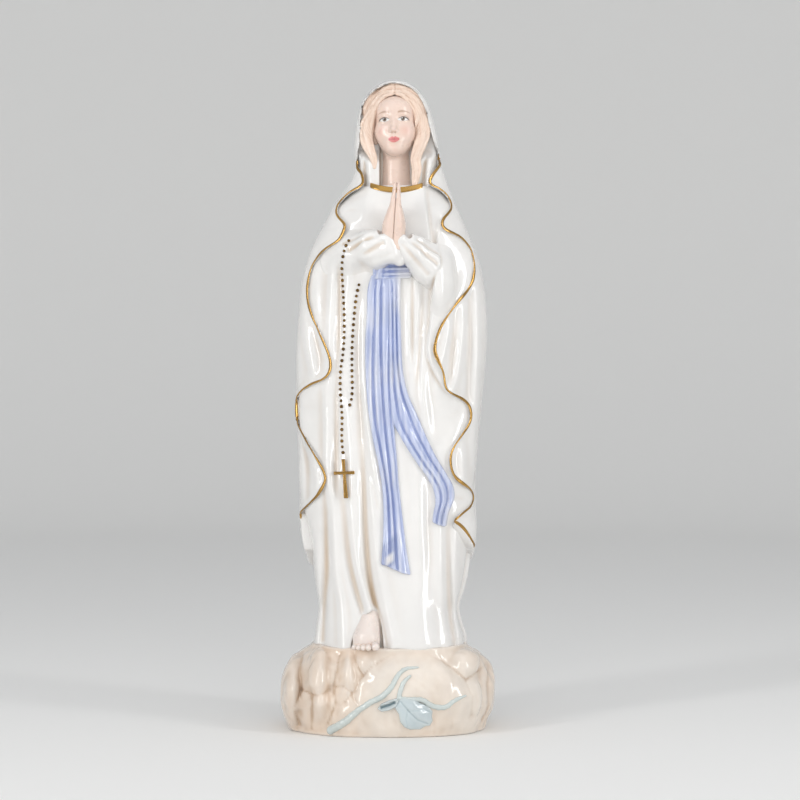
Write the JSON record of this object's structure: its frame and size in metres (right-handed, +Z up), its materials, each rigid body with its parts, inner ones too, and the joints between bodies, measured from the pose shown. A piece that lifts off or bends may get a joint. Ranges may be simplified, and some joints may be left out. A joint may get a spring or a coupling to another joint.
{
  "type": "madonna statue",
  "caption": "Standing glazed porcelain madonna in a hooded mantle with wavy gilded edges, joined hands, blue sash and relief rosary, on a hollow rocky base with a vine.",
  "frame": {"origin": "centre of the statue's footprint, on the plane it stands on", "axes": "+Z up, -Y the way the figure faces, +X towards her left hand"},
  "size_m": [0.1, 0.0758, 0.3],
  "materials": {
    "white_glaze": "gloss",
    "flesh_glaze": "satin",
    "hair_glaze": "satin",
    "blue_glaze": "gloss",
    "gold_lustre": "burnished lustre",
    "rock_glaze": "gloss",
    "vine_glaze": "gloss"
  },
  "bodies": {
    "root": {"rock_base": "rock_glaze", "robe": "white_glaze", "mantle": "white_glaze", "mantle_gilding": "gold_lustre", "head": "flesh_glaze", "hair": "hair_glaze", "under_veil": "white_glaze", "right_sleeve": "white_glaze", "left_sleeve": "white_glaze", "right_hand": "flesh_glaze", "left_hand": "flesh_glaze", "right_foot": "flesh_glaze", "sash_waistband": "blue_glaze", "sash_right_tail": "blue_glaze", "sash_left_tail": "blue_glaze", "neckline_band": "gold_lustre", "rosary_beads": "gold_lustre", "rosary_cross": "gold_lustre", "vine_stems": "vine_glaze", "vine_leaves": "vine_glaze"}
  },
  "joints": []
}
